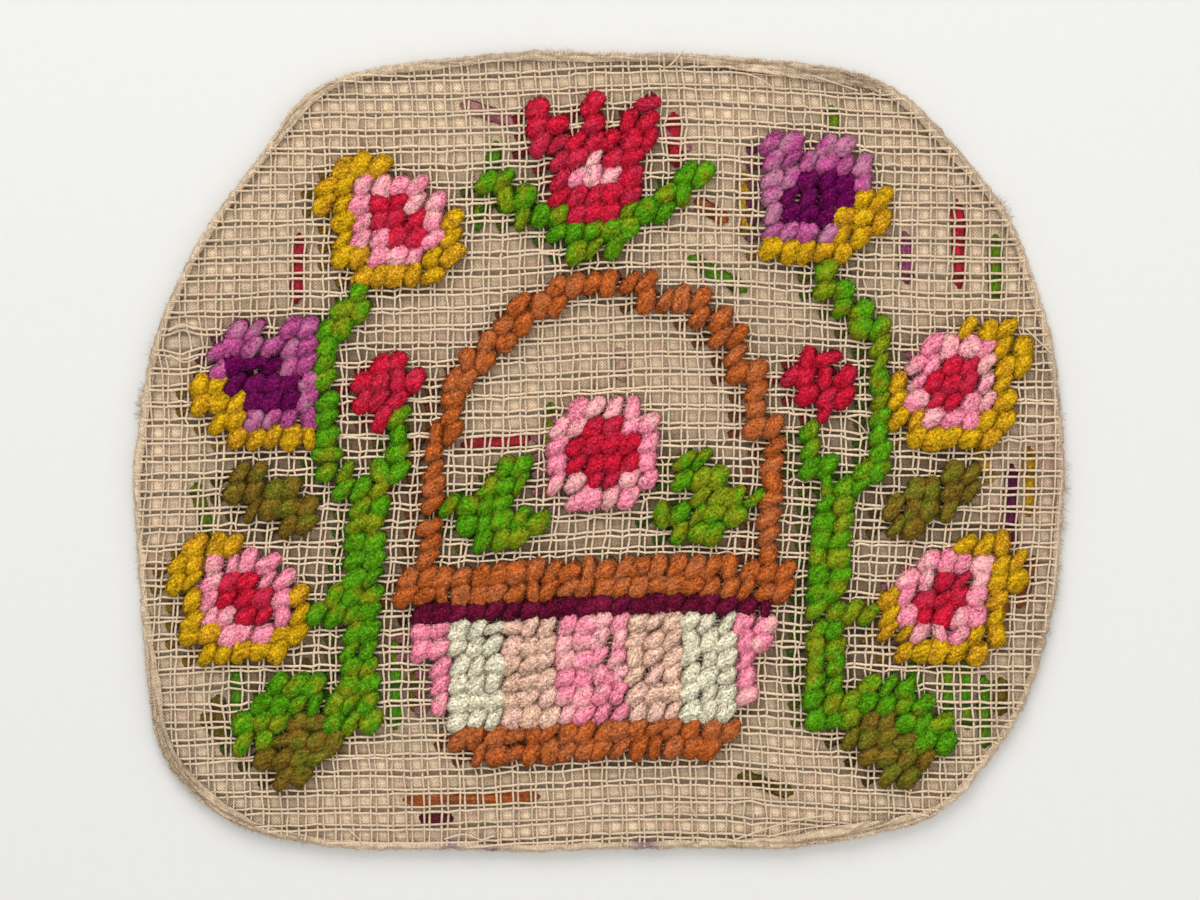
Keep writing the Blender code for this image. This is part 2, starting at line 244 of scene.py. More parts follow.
def inward(points):
    along = np.roll(points, -1, 0) - np.roll(points, 1, 0)
    along = along / np.hypot(*along.T)[:, None]
    return np.stack([along[:, 1], -along[:, 0]], 1)


def cutEdge(count):  # the edge of the cloth, from the foot of its CAD node
    foot = nodePoints("backing_cloth")
    foot = foot[foot[:, 2] < 0.01][:, :2]
    foot = foot[np.argsort(-np.arctan2(foot[:, 1], foot[:, 0]))]
    first = np.argmin(np.hypot(foot[:, 0] - hem["corner"][0], foot[:, 1] - hem["corner"][1]))
    foot = np.roll(foot, -first, 0)
    return smoothLoop(foot - inward(foot) * hem["roll"][0][0], count)


edge = cutEdge(hem["steps"])
edgeInward = inward(edge)
edgeLength = np.hypot(*(np.roll(edge, -1, 0) - edge).T).sum()
edgeTurns = np.arctan2(edge[:, 1], edge[:, 0])
edgeOrder = np.argsort(edgeTurns)
edgeReach = np.hypot(*edge.T)[edgeOrder]
edgeTurns = edgeTurns[edgeOrder]


def edgeFrom(x, y):  # how far each of its places is from this one
    return np.hypot(edge[:, 0] - x, edge[:, 1] - y)


def nearestStep(x, y):
    return np.argmin(edgeFrom(x, y))


def insideBy(x, y):  # about how far a place lies inside the cut edge
    return np.interp(np.arctan2(y, x), edgeTurns, edgeReach, period=tau) - np.hypot(x, y)


def hemSection():  # the hem's rings, each with its distance in and its height round the edge
    width = hem["width"] + ripples(hem["widthWaves"], *edge.T)
    height = hem["height"] + ripples(hem["heightWaves"], *edge.T)
    cover = np.zeros(len(edge))
    for (x, y), reach, wider, higher, covering in hem["swells"]:
        near = falloff(edgeFrom(x, y), reach)
        width += wider * near
        height += higher * near
        cover = np.maximum(cover, covering * smoothStep(near * 2.2 - 0.4))
    width = np.maximum(width, 1.0)
    rows = [np.stack([np.full(len(edge), inset), part * height], 1) for inset, part in hem["roll"]]
    rows.append(np.stack([(rows[-1][:, 0] + width) / 2, height - hem["slope"]], 1))
    rows.append(np.stack([width, blend(*hem["tip"], cover)], 1))
    return smoothLine(np.array(rows), hem["smoothing"]), cover


section, edgeCover = hemSection()


def hemHeight(inset, which):  # the height of the roll so far in from places on the edge
    upper = section[2 * hem["smoothing"]:]
    return np.array([np.interp(i, upper[:, w, 0], upper[:, w, 1]) for i, w in zip(inset, which)])


def hemAt(x, y, room):  # the hem's height, its width and how far it covers the canvas
    which = edgeOrder[np.searchsorted(edgeTurns, np.arctan2(y, x)) % len(edge)]
    return hemHeight(room, which), section[-1, which, 0], edgeCover[which]


# Meshes

class Heap:  # gathers many small shapes for one mesh
    def __init__(self):
        self.points = []
        self.faces = []
        self.runs = []
        self.facts = {"tone": [], "soilAndShade": []}
        self.count = 0

    def add(self, points, groups, facts):
        self.points.append(points)
        for corners, runs in groups:
            self.faces += (corners + self.count).tolist()
            self.runs.append(runs.reshape(-1, 2))
        for name, values in facts.items():
            self.facts[name].append(values)
        self.count += len(points)


def unit(vectors):
    return vectors / (np.linalg.norm(vectors, axis=-1, keepdims=True) + 1e-9)


def addTubes(heap, centres, wide, high, sides, tone, soilAndShade, swell=None, run=None):
    # centres is tubes x rings x 3. The rings lie flat: wide is across, high is up
    count, rings = centres.shape[:2]
    along = np.empty_like(centres)
    along[:, 1:-1] = centres[:, 2:] - centres[:, :-2]
    along[:, 0] = centres[:, 1] - centres[:, 0]
    along[:, -1] = centres[:, -1] - centres[:, -2]
    along = unit(along)
    side = unit(np.cross(along, (0.0, 0.0, 1.0)))
    up = np.cross(side, along)
    turn = np.arange(sides) * tau / sides
    size = 1.0 if swell is None else swell
    across = wide[:, :, None] * np.cos(turn) * size
    above = high[:, :, None] * np.sin(turn) * size
    ring = centres[:, :, None] + side[:, :, None] * across[..., None] + up[:, :, None] * above[..., None]
    first = centres[:, 0] - along[:, 0] * high[:, :1]
    final = centres[:, -1] + along[:, -1] * high[:, -1:]
    points = np.concatenate([ring.reshape(count, -1, 3), np.stack([first, final], 1)], 1)
    size = points.shape[1]
    start = (np.arange(count) * size)[:, None, None]
    steps = np.meshgrid(np.arange(rings - 1), np.arange(sides), indexing="ij")
    i, j = (part.ravel() for part in steps)
    after = (j + 1) % sides
    quads = np.stack([i * sides + j, (i + 1) * sides + j, (i + 1) * sides + after, i * sides + after], 1)
    run = np.broadcast_to(np.linspace(0, 1, rings), (count, rings)) if run is None else run
    quadRuns = np.stack([
        np.stack([run[:, i], run[:, i + 1], run[:, i + 1], run[:, i]], 2),
        np.broadcast_to(np.stack([j, j, j + 1, j + 1], 1) / sides, (count, len(j), 4)),
    ], 3)
    j = np.arange(sides)
    after = (j + 1) % sides
    last = (rings - 1) * sides
    caps = np.concatenate([
        np.stack([np.full(sides, size - 2), j, after], 1),
        np.stack([np.full(sides, size - 1), last + after, last + j], 1),
    ])
    capRuns = np.stack([
        np.repeat(run[:, [0, -1]], sides, 1)[:, :, None] * np.ones(3),
        np.broadcast_to(np.tile(np.stack([j, j, j + 1], 1) / sides, (2, 1)), (count, 2 * sides, 3)),
    ], 3)
    groups = (((quads + start).reshape(-1, 4), quadRuns), ((caps + start).reshape(-1, 3), capRuns))
    soilAndShadeValues = np.concatenate([np.repeat(soilAndShade, sides, 1), soilAndShade[:, [0, -1]]], 1)
    facts = {"tone": np.repeat(tone, size), "soilAndShade": soilAndShadeValues.ravel()}
    heap.add(points.reshape(-1, 3), groups, facts)


def newMesh(name, points, faces):
    mesh = bpy.data.meshes.new(name)
    mesh.from_pydata((points * mm).tolist(), [], faces)
    return mesh


def putPlane(mesh, name, values):  # a flat place for each corner
    layer = mesh.uv_layers.new(name=name)
    layer.data.foreach_set("uv", values.astype(np.float32).ravel())


def putFact(mesh, name, values):  # a number for each point
    made = mesh.attributes.new(name, "FLOAT", "POINT")
    made.data.foreach_set("value", values.astype(np.float32))


def newPiece(mesh, finish):
    mesh.materials.append(finish)
    mesh.shade_smooth()
    piece = bpy.data.objects.new(mesh.name, mesh)
    bpy.context.collection.objects.link(piece)
    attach(piece, "root")
    print(piece.name, "faces:", len(mesh.polygons))
    return piece


def makePiece(name, heap, finish):
    mesh = newMesh(name, np.concatenate(heap.points), heap.faces)
    putPlane(mesh, "run", np.concatenate(heap.runs))
    for fact, values in heap.facts.items():
        putFact(mesh, fact, np.concatenate(values))
    return newPiece(mesh, finish)


# Finishes

def shaderMaths(operation, swapped=False):
    def work(field, *others):
        values = (*others, field) if swapped else (field, *others)
        return field.finish.node("Math", {"operation": operation}, dict(enumerate(values)))
    return work


class Field:  # wraps a socket, so that shader maths reads as plain expressions
    __add__ = __radd__ = shaderMaths("ADD")
    __mul__ = __rmul__ = shaderMaths("MULTIPLY")
    __sub__ = shaderMaths("SUBTRACT")
    __rsub__ = shaderMaths("SUBTRACT", swapped=True)
    __truediv__ = shaderMaths("DIVIDE")
    sin = shaderMaths("SINE")
    abs = shaderMaths("ABSOLUTE")

    def __init__(self, finish, socket):
        self.finish = finish
        self.socket = socket

    def above(self, low, high):  # 0 at low, 1 at high, smooth between
        limits = {"Value": self, "From Min": low, "From Max": high}
        return self.finish.node("MapRange", {"interpolation_type": "SMOOTHSTEP"}, limits)


class Finish:
    def __init__(self, name):
        self.material = bpy.data.materials.new(name)
        self.material.use_nodes = True
        self.tree = self.material.node_tree
        self.shader = self.tree.nodes["Principled BSDF"]

    def put(self, socket, value):
        if isinstance(value, Field):
            self.tree.links.new(value.socket, socket)
        elif socket.type == "RGBA":
            socket.default_value = (*value[:3], 1.0)
        else:
            socket.default_value = value

    def node(self, kind, settings=(), values=(), output=0):
        made = self.tree.nodes.new("ShaderNode" + kind)
        for name, value in dict(settings).items():
            setattr(made, name, value)
        for name, value in dict(values).items():
            self.put(made.inputs[name], value)
        return Field(self, made.outputs[output])

    def mix(self, share, start, end):  # of two colours
        return self.node("Mix", {"data_type": "RGBA"}, {0: share, 6: start, 7: end}, 2)

    def scaled(self, vector, factor):  # a colour made darker or lighter, or a place in other units
        return self.node("VectorMath", {"operation": "SCALE"}, {0: vector, "Scale": factor})

    def fact(self, name, output=2):
        return self.node("Attribute", {"attribute_name": name}, output=output)

    def parts(self, vector):
        split = self.node("SeparateXYZ", values={0: vector})
        return [Field(self, socket) for socket in split.socket.node.outputs]

    def joined(self, x, y, z=0.0):
        return self.node("CombineXYZ", values={0: x, 1: y, 2: z})

    def plane(self, name):
        return self.parts(self.node("UVMap", {"uv_map": name}))[:2]

    def threadFacts(self):  # place along and around, tone, soil-and-shade value (dirt plus painted shade), place in space
        return *self.plane("run"), self.fact("tone"), self.fact("soilAndShade"), self.place()

    def noise(self, vector, scale, detail=2.0):
        return self.node("TexNoise", values={"Vector": vector, "Scale": scale, "Detail": detail})

    def place(self):  # in millimetres
        return self.scaled(self.node("TexCoord", output=3), 1 / mm)

    def bump(self, height, distance, strength=1.0):
        values = {"Height": height, "Distance": distance * mm, "Strength": strength}
        self.put(self.shader.inputs["Normal"], self.node("Bump", values=values))

    def set(self, **values):
        for name, value in values.items():
            self.put(self.shader.inputs[name.replace("_", " ")], value)


# The wool
yarns = {  # colour, where it has faded, and how much the dye varies
    "green": ((0.080, 0.280, 0.004), (0.200, 0.215, 0.006), 0.9),
    "olive": ((0.185, 0.112, 0.012), (0.130, 0.140, 0.010), 1.0),
    "gold": ((0.600, 0.340, 0.006), (0.480, 0.230, 0.010), 0.8),
    "crimson": ((0.560, 0.010, 0.035), (0.420, 0.020, 0.050), 0.7),
    "pink": ((0.900, 0.260, 0.365), (0.780, 0.400, 0.380), 0.7),
    "blush": ((0.770, 0.490, 0.350), (0.700, 0.430, 0.350), 0.8),
    "white": ((0.740, 0.670, 0.490), (0.620, 0.590, 0.440), 0.6),
    "rust": ((0.450, 0.105, 0.019), (0.380, 0.110, 0.035), 0.8),
    "maroon": ((0.105, 0.003, 0.022), (0.140, 0.006, 0.030), 0.8),
    "purple": ((0.118, 0.001, 0.066), (0.130, 0.004, 0.070), 0.8),
    "mauve": ((0.440, 0.075, 0.240), (0.420, 0.170, 0.260), 0.9),
}
# brown mixed in by the soil-and-shade value: painted shade under the canvas and at the stitch ends, with
# some dirt
shadeAndDirt = (0.120, 0.085, 0.055)
wool = {
    "sides": 8,
    "rings": 7,
    "length": 5.30,
    "width": 3.15,
    "height": 1.40,
    "ends": (0.13, 0.87),  # share of the stitch where its first and last rings lie
    "blunt": 0.34,  # lower is blunter at the ends
    "bow": 0.22,
    "lumps": 0.055,
    "plyDepth": 0.08,
    "lean": 52.0,  # degrees
    "leanSpread": 9.0,
    "astray": 0.16,  # how far a stitch lies off its crossing
    "oddOnes": (0.09, (-30, 34)),  # share that lean another way, and by how much
    "wornOnes": (0.08, 0.74),  # share that are thin, and how thin
    "low": 1.95,
    "crest": 1.20,  # from the low ends up to the middle line
    "turns": 0.3,  # twist of the plies over one stitch
    "hairs": 130,  # on each stitch
    "mostHairs": 38000,  # in one yarn
    "hairLength": (0.3, 1.05),
    "hairSize": 0.085,
    "back": (0.85, 0.27),  # half the width and height of the yarn behind the stitches
    "float": (1.28, 0.30),  # the same for a length that crosses behind bare canvas
}


def woolFinish(yarn):
    colour, faded, change = yarns[yarn]
    finish = Finish("wool_" + yarn)
    along, around, tone, soilAndShade, place = finish.threadFacts()
    ply = ((around * 3 + along * wool["turns"] * 3) * tau).sin()
    fibres = finish.joined(along * 1.6 + tone * 31, (around + along * wool["turns"]) * 6, tone * 17)
    streak = finish.noise(fibres, 2.6, 4.0)
    patch = finish.noise(place, 0.12)
    grain = finish.noise(place, 2.6, 2.0)
    shade = 1 + (tone - 0.5) * 0.26 * change + (streak - 0.5) * 1.9 + (patch - 0.5) * 0.5 * change
    # painted shade: darker in the grooves between the plies, and where the soil-and-shade value is high
    shade = (shade + (grain - 0.5) * 1.3) * (0.84 + 0.16 * ply.above(-1.0, 0.2)) * (1 - soilAndShade * 0.6)
    blot = finish.noise(place, 0.35, 3.0)
    # lighter flecks of the same colour: the dye's own unevenness, with painted glints on the fibres
    pale = [part * 1.5 + 0.02 for part in colour]
    base = blot * 0.6 + patch * 0.4 + (tone - 0.5) * 0.16
    base = finish.mix(base.above(0.45, 0.60), colour, faded)
    base = finish.mix(grain.above(0.50, 0.70) * 0.6, base, pale)
    # painted shade with some dirt: browner where the soil-and-shade value is high
    base = finish.mix(soilAndShade * 0.4, base, shadeAndDirt)
    finish.set(Base_Color=finish.scaled(base, shade), Roughness=0.95, Sheen_Weight=0.18)
    finish.set(Sheen_Tint=colour, Specular_IOR_Level=0.04)
    finish.bump(ply * 0.6 + streak * 1.6 + grain * 0.8, 0.2, 1.0)
    return finish.material


def crossPlace(column, row):  # a place on the canvas and its lift
    x, y = squarePlace(column, row)
    return x, y, rise(x, y)


def addStitches(heap, found, chance):
    count, rings = len(found), wool["rings"]
    x, y, lift = crossPlace(*found.T)
    lean = wool["lean"] + chance.normal(0, wool["leanSpread"], count)
    oddShare, turns = wool["oddOnes"]
    odd = chance.random(count) < oddShare
    lean = np.radians(np.where(odd, lean + chance.choice(turns, count), lean))
    length = wool["length"] * chance.normal(1, 0.06, count)
    bow = chance.normal(0, wool["bow"], count)
    share = (1 - np.cos(math.pi * np.linspace(*wool["ends"], rings))) / 2
    reach = (share - 0.5) * length[:, None]
    arch = np.sin(math.pi * share) * bow[:, None]
    alongX, alongY = np.cos(lean)[:, None], np.sin(lean)[:, None]
    x = x + chance.normal(0, wool["astray"], count)
    y = y + chance.normal(0, wool["astray"], count)
    crest = wool["crest"] + chance.normal(0, 0.07, count)
    height = (lift + wool["low"])[:, None] + crest[:, None] * (1 - abs(2 * share - 1) ** 4)
    centres = np.stack([
        x[:, None] + reach * alongX - arch * alongY,
        y[:, None] + reach * alongY + arch * alongX,
        height,
    ], 2)
    fat = np.sin(math.pi * share) ** wool["blunt"] * chance.normal(1, 0.09, (count, rings))
    wornShare, thin = wool["wornOnes"]
    worn = np.where(chance.random(count) < wornShare, thin, 1.0)
    wide = fat * wool["width"] / 2 * (worn * chance.normal(1, 0.12, count))[:, None]
    high = fat * wool["height"] / 2 * chance.normal(1, 0.08, count)[:, None]
    turn = np.arange(wool["sides"]) * tau / wool["sides"]
    twist = share[None, :, None] * wool["turns"] * tau + chance.uniform(0, tau, count)[:, None, None]
    swell = 1 + wool["plyDepth"] * np.cos(3 * (turn + twist))
    swell = swell + chance.normal(0, wool["lumps"], (count, rings, len(turn)))
    tone = chance.uniform(0, 1, count)
    # painted shade at the stitch ends, where they sink between their neighbours
    soilAndShade = np.broadcast_to(abs(2 * share - 1) ** 4 * 0.25, (count, rings))
    addTubes(heap, centres, wide, high, wool["sides"], tone, soilAndShade, swell)
    return centres, wide, high, tone


def addSpikes(heap, start, tip, size, tone, soilAndShade):  # hairs, each a thin spike on three sides
    count = len(start)
    along = unit(tip - start)
    side = unit(np.cross(along, (0.31, 0.17, 0.93)))
    up = np.cross(side, along)
    points = np.empty((count, 4, 3))
    for number, turn in enumerate((0.0, tau / 3, 2 * tau / 3)):
        points[:, number] = start + (side * math.cos(turn) + up * math.sin(turn)) * size
    points[:, 3] = tip
    corners = np.array([(0, 1, 2), (1, 0, 3), (2, 1, 3), (0, 2, 3)])
    corners = (corners + 4 * np.arange(count)[:, None, None]).reshape(-1, 3)
    runs = np.tile([(0.1, 0.2), (0.1, 0.3), (0.6, 0.25)], (len(corners), 1))
    facts = {"tone": np.repeat(tone, 4), "soilAndShade": np.repeat(soilAndShade, 4)}
    heap.add(points.reshape(-1, 3), ((corners, runs),), facts)


def addHairs(heap, centres, wide, high, tone, chance):  # the wool's halo
    count, rings = centres.shape[:2]
    which = np.repeat(np.arange(count), min(wool["hairs"], wool["mostHairs"] // count))
    total = len(which)
    ring = chance.integers(1, rings - 1, total)
    atSide = chance.choice([0, math.pi], total) + chance.normal(0, 0.35, total)
    turn = np.where(chance.random(total) < 0.5, atSide, chance.uniform(0, math.pi, total))
    along = unit(centres[which, ring + 1] - centres[which, ring - 1])
    side = unit(np.cross(along, (0.0, 0.0, 1.0)))
    up = np.cross(side, along)
    out = side * np.cos(turn)[:, None] + up * np.sin(turn)[:, None]
    start = centres[which, ring] + side * (np.cos(turn) * wide[which, ring])[:, None]
    start = start + up * (np.sin(turn) * high[which, ring])[:, None] - out * 0.12
    start = start + along * chance.uniform(-0.3, 0.3, total)[:, None]
    way = out * chance.uniform(0.2, 0.8, total)[:, None]
    way = way + along * chance.normal(0, 0.9, total)[:, None]
    way = unit(way + chance.normal(0, 0.4, out.shape))
    tip = start + way * chance.uniform(*wool["hairLength"], total)[:, None]
    tip[:, 2] = np.maximum(tip[:, 2], 0.4)
    shade = chance.uniform(-0.55, 0.75, total)  # some hairs catch the light
    addSpikes(heap, start, tip, wool["hairSize"], tone[which], shade)


def addBacks(heap, found, chance):  # the yarn's way behind the canvas from stitch to stitch
    count = len(found)
    share = np.linspace(0, 1, 5)
    column = found[:, :1] + 0.5 - 1.9 * share
    row = found[:, 1:] - 0.5 + 1.0 * share
    x, y, lift = crossPlace(column, row)
    height = 1.0 + lift * 0.9 + 0.35 * (2 * share - 1) ** 4
    x = x + chance.normal(0, 0.12, x.shape)
    y = y + chance.normal(0, 0.12, x.shape)
    wide, high = (np.full(x.shape, size) for size in wool["back"])
    tone = chance.uniform(0, 1, count)
    # soil-and-shade of 0.95: painted shade under the canvas, with some dirt
    addTubes(heap, np.stack([x, y, height], 2), wide, high, 6, tone, np.full(x.shape, 0.95))


# Lengths of yarn that cross behind the bare canvas: first column and row, last, how much darker and
# browner the whole length is
floats = {
    "crimson": (
        (45.3, 7.6, 45.6, 12.6, 0.15), (8.5, 9.5, 8.3, 13.5, 0.3), (17.5, 21.6, 21.4, 21.4, 0.3),
        (13.5, 22.5, 13.4, 24.6, 0.2), (40.6, 15.5, 41.4, 18.5, 0.2), (29.5, 3.4, 29.6, 6.5, 0.2),
    ),
    "green": (
        (47.5, 9.6, 47.6, 13.4, 0.1), (19.5, 4.6, 18.4, 9.6, 0.1), (2.6, 23.4, 3.6, 26.5, 0.3),
        (30.4, 11.6, 33.6, 13.4, 0.1), (43.5, 33.6, 44.5, 38.5, 0.0), (22.5, 19.5, 22.4, 22.4, 0.15),
        (38.4, 2.6, 38.6, 5.5, 0.1), (45.5, 33.6, 45.5, 36.5, 0.0), (46.5, 33.5, 46.6, 37.4, 0.0),
        (47.5, 34.4, 47.5, 38.5, 0.1), (5.5, 33.5, 5.6, 37.4, 0.1), (20.5, 32.0, 20.4, 33.6, 0.1),
        (14.5, 32.4, 14.4, 37.6, 0.0),
    ),
    "pink": (
        (17.6, 2.5, 20.8, 3.6, 0.5), (28.5, 4.5, 30.4, 5.5, 0.5),
    ),
    "gold": (
        (33.4, 6.6, 33.6, 10.5, 0.2), (49.4, 21.5, 49.6, 25.5, 0.25), (46.4, 21.6, 47.4, 23.5, 0.1),
        (24.5, 10.6, 26.4, 11.5, 0.3),
    ),
    "purple": (
        (48.4, 22.5, 48.6, 27.4, 0.3), (4.5, 26.6, 5.5, 29.4, 0.35),
    ),
    "rust": (
        (50.0, 27.6, 49.4, 30.6, 0.35), (14.6, 41.5, 22.4, 41.6, 0.1), (48.6, 29.5, 48.5, 31.4, 0.3),
        (30.6, 8.4, 32.5, 9.5, 0.2),
    ),
    "olive": (
        (33.5, 40.6, 36.6, 41.4, 0.1), (9.5, 33.5, 9.4, 38.6, 0.2), (3.5, 36.5, 5.4, 38.5, 0.15),
        (48.5, 34.5, 48.4, 36.6, 0.1), (4.5, 35.4, 4.6, 37.5, 0.2), (15.5, 34.4, 15.5, 36.5, 0.1),
    ),
    "mauve": ((42.4, 9.5, 42.6, 12.4, 0.3),),
    "blush": ((26.4, 16.6, 26.6, 18.5, 0.3),),
    "maroon": ((15.5, 42.5, 17.4, 42.6, 0.3),),
}


def addFloats(heap, yarn, chance):
    for fromColumn, fromRow, toColumn, toRow, dimming in floats.get(yarn, ()):
        share = np.linspace(0, 1, 40)
        column = blend(fromColumn, toColumn, share)
        row = blend(fromRow, toRow, share)
        x, y, lift = crossPlace(column, row)
        x = x + 0.25 * ripple(x, y, 9.0, fromColumn)
        y = y + 0.25 * ripple(x, y, 9.0, fromRow)
        height = 1.06 + lift * 0.9 - 0.35 * (2 * share - 1) ** 8
        fat = np.minimum(1, 3.5 * np.sin(math.pi * np.clip(share, 0.03, 0.97)))
        fat = fat * (1 + 0.12 * ripple(x, y, 2.2, 4.0))
        wide, high = wool["float"]
        # painted shade under the canvas: each length is darker everywhere, and darker still under the
        # pairs of threads across
        between = smoothStep(1.6 * abs(np.sin(math.pi * row)) - 0.3)
        soilAndShade = 0.22 + dimming + (0.78 - dimming) * (1 - between)
        centres = np.stack([x, y, height], 1)[None]
        tone = chance.uniform(0.3, 0.7, 1)
        addTubes(heap, centres, wide * fat[None], high * fat[None], 8, tone, soilAndShade[None])


for yarn, found in cells.items():
    chance = np.random.default_rng(sum(map(ord, yarn)))
    heap = Heap()
    stitchLines = addStitches(heap, found, chance)
    addHairs(heap, *stitchLines, chance)
    addBacks(heap, found, chance)
    addFloats(heap, yarn, chance)
    piece = makePiece("wool_" + yarn, heap, woolFinish(yarn))
    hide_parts(*nodesOf["yarn_" + yarn])

# The canvas
canvas = {
    "thread": 0.215,  # half its thickness
    "pair": 0.50,  # from the middle of a pair to each of its threads
    "pulledPair": 0.40,  # the same under a stitch
    "uneven": 0.11,  # how much pairs open and close
    "astray": 0.055,  # how far a crossing lies off
    "pull": 1.6,  # how much more so by the stitches
    "wave": 0.20,  # how far a thread goes over and under
    "middle": 1.80,  # height
    "acrossHigher": 0.07,  # the threads across lie a little higher
    "ends": (0.45, 1.25),  # in from the edge: over the hem, under it
    "worn": (  # place, reach, push
        ((-74.3, 19), 4.4, 1.5), ((-66, -44), 4.5, 0.7), ((46, 4.5), 4, 0.8), ((58.5, -26), 4, 0.6),
        ((14, 58), 3.5, 0.6), ((27, -64.5), 4, 0.8), ((-25, 52), 3, 0.5),
    ),
    "lint": 3500,
    "sides": 4,
    "colour": (0.74, 0.575, 0.40),
    "flat": (0.163, 0.140),
    "area": 0.0195,
}


def canvasFinish():
    finish = Finish("canvas_thread")
    along, around, tone, soilAndShade, place = finish.threadFacts()
    ply = ((around * 2 + along / 0.9) * tau).sin()
    streak = finish.noise(finish.joined(along * 0.7 + tone * 53, around * 3 + tone * 19), 3.0, 3.0)
    patch = finish.noise(place, 0.09, 3.0)
    shade = 1 + (tone - 0.5) * 0.22 + (streak - 0.5) * 0.4 + (patch - 0.5) * 0.30
    # painted shade in the grooves between the plies
    shade = shade * (0.88 + 0.12 * ply.above(-1.0, 0.3))
    shade = shade * (1 - soilAndShade * 0.16)
    base = finish.mix(patch.above(0.5, 0.8) * 0.3, canvas["colour"], (0.52, 0.40, 0.27))
    finish.set(Base_Color=finish.scaled(base, shade), Roughness=0.88, Sheen_Weight=0.15)
    finish.set(Specular_IOR_Level=0.2)
    finish.bump(ply * 0.6 + streak, 0.06, 0.8)
    return finish.material


def threadPoints(pair, side, goesUp):
    # the crossings that one thread makes: its place along, and how it lies at each
    number = np.repeat(np.arange(-2, lay["rows" if goesUp else "columns"] + 2), 2)
    step = np.tile([-1, 1], len(number) // 2)
    column, row = (pair, number) if goesUp else (number, pair)
    column, row = np.broadcast_arrays(column, row)
    inReach = (column >= -spare) & (column < lay["columns"] + spare)
    inReach = inReach & (row >= -spare) & (row < lay["rows"] + spare)
    pulled = worked[np.where(inReach, row, 0) + spare, np.where(inReach, column, 0) + spare]
    half = blend(canvas["pair"], canvas["pulledPair"], pulled)
    half = half + canvas["uneven"] * ripple(column, row, 4.3, 7.0)
    across = (column - lay["middle"][0]) * lay["pitch"] + (side if goesUp else step) * half
    up = (lay["middle"][1] - row) * lay["pitch"] - (step if goesUp else side) * half
    over = (number * 2 + (step > 0) + pair * 2 + (side > 0)) % 2
    return across, up, np.where(over == (1 if goesUp else 0), 1.0, -1.0)


def spread(x, y):  # threads pushed aside at worn places
    moveX, moveY = np.zeros(len(x)), np.zeros(len(x))
    for (middleX, middleY), reach, push in canvas["worn"]:
        away = np.hypot(x - middleX, y - middleY) + 0.3
        share = push * falloff(away, reach) / away
        moveX += (x - middleX) * share
        moveY += (y - middleY) * share
    return moveX, moveY


def addThread(heap, pair, side, goesUp, chance):
    across, up, over = threadPoints(pair, side, goesUp)
    x, y = drifted(across, up)
    seed = pair * 2.3 + side + (50 if goesUp else 0)
    wander = 0.18 * ripple(x if not goesUp else y, seed * 7.0, 26.0, 1.0) + 0.14 * ripple(x, y, 11.0, 3.0)
    pull = 1 + canvas["pull"] * fromGrid(roundWork, x, y)
    wander = wander + chance.normal(0, canvas["astray"], len(x)) * pull + chance.normal(0, 0.06)
    moveX, moveY = spread(x, y)
    x, y = (x + wander + moveX, y) if goesUp else (x, y + wander + moveY)
    own = canvas["wave"] * over + (-0.03 if goesUp else canvas["acrossHigher"])
    own = own + chance.normal(0, 0.03, len(x))
    inside = np.flatnonzero(insideBy(x, y) > 0.2)
    if len(inside) < 3:
        return
    line = np.stack([x, y, own], 1)[max(inside[0] - 1, 0):inside[-1] + 2]
    if len(line) < 12:
        line = smoothLine(line, 3)
    else:
        line = np.concatenate([smoothLine(line[:5], 3)[:-1], line[4:-5], smoothLine(line[-5:], 3)])
    x, y, own = line.T
    room = insideBy(x, y)
    hemTop, hemWidth, cover = hemAt(x, y, room)
    ending = blend(*canvas["ends"], cover) + chance.uniform(0, 0.25)
    kept = np.flatnonzero(room > ending)
    if len(kept) < 3:
        return
    climb = smoothStep((hemWidth + 0.8 - room) / 0.8) * (1 - cover)
    sunk = 0.35 * smoothStep((ending + 0.6 - room) / 0.6) * (1 - cover)
    height = (canvas["middle"] + rise(x, y)) * (1 - climb) + (hemTop + 0.13) * climb
    height = height + own * (1 - 0.6 * climb) - sunk
    points = np.stack([x, y, height], 1)[kept[0]:kept[-1] + 1]
    steps = np.linalg.norm(np.diff(points, axis=0), axis=1)
    run = np.concatenate([[0], np.cumsum(steps)])[None]
    thick = canvas["thread"] * chance.normal(1.0, 0.07) * (1 + 0.10 * ripple(run[0], seed * 5.0, 7.0, 2.0))
    thick = np.clip(thick * (1.06 if not goesUp else 0.92), 0.14, 0.29)[None]
    soilAndShade = -fromGrid(roundWork, *points[:, :2].T)  # lighter near the stitches
    tone = chance.uniform(0, 0.7, 1) if goesUp else chance.uniform(0.3, 1, 1)
    addTubes(heap, points[None], thick, thick * 0.95, canvas["sides"], tone, soilAndShade[None], run=run)


def addLint(heap, chance):  # short hairs on the threads
    count = canvas["lint"]
    column = chance.uniform(-1, lay["columns"], count)
    row = chance.uniform(-1, lay["rows"], count)
    onUp = chance.random(count) < 0.5
    side = chance.choice([-1, 1], count) * canvas["pair"] / lay["pitch"]
    column = np.where(onUp, column.round() + side, column)
    row = np.where(onUp, row, row.round() + side)
    x, y = squarePlace(column, row)
    kept = insideBy(x, y) > 2.5
    x, y = x[kept], y[kept]
    count = len(x)
    start = np.column_stack([x, y, canvas["middle"] + rise(x, y) + 0.1])
    way = np.column_stack([chance.normal(0, 1, (count, 2)), chance.uniform(-0.1, 0.5, count)])
    tip = start + unit(way) * chance.uniform(0.3, 0.9, count)[:, None]
    addSpikes(heap, start, tip, 0.03, chance.uniform(0, 1, count), np.zeros(count))


heap = Heap()
chance = np.random.default_rng(11)
for goesUp, pairs in ((True, lay["columns"]), (False, lay["rows"])):
    for pair in range(-1, pairs + 1):
        for side in (-1, 1):
            addThread(heap, pair, side, goesUp, chance)
addLint(heap, chance)
canvasThread = canvasFinish()
canvasPiece = makePiece("canvas_weave", heap, canvasThread)
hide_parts("canvas")

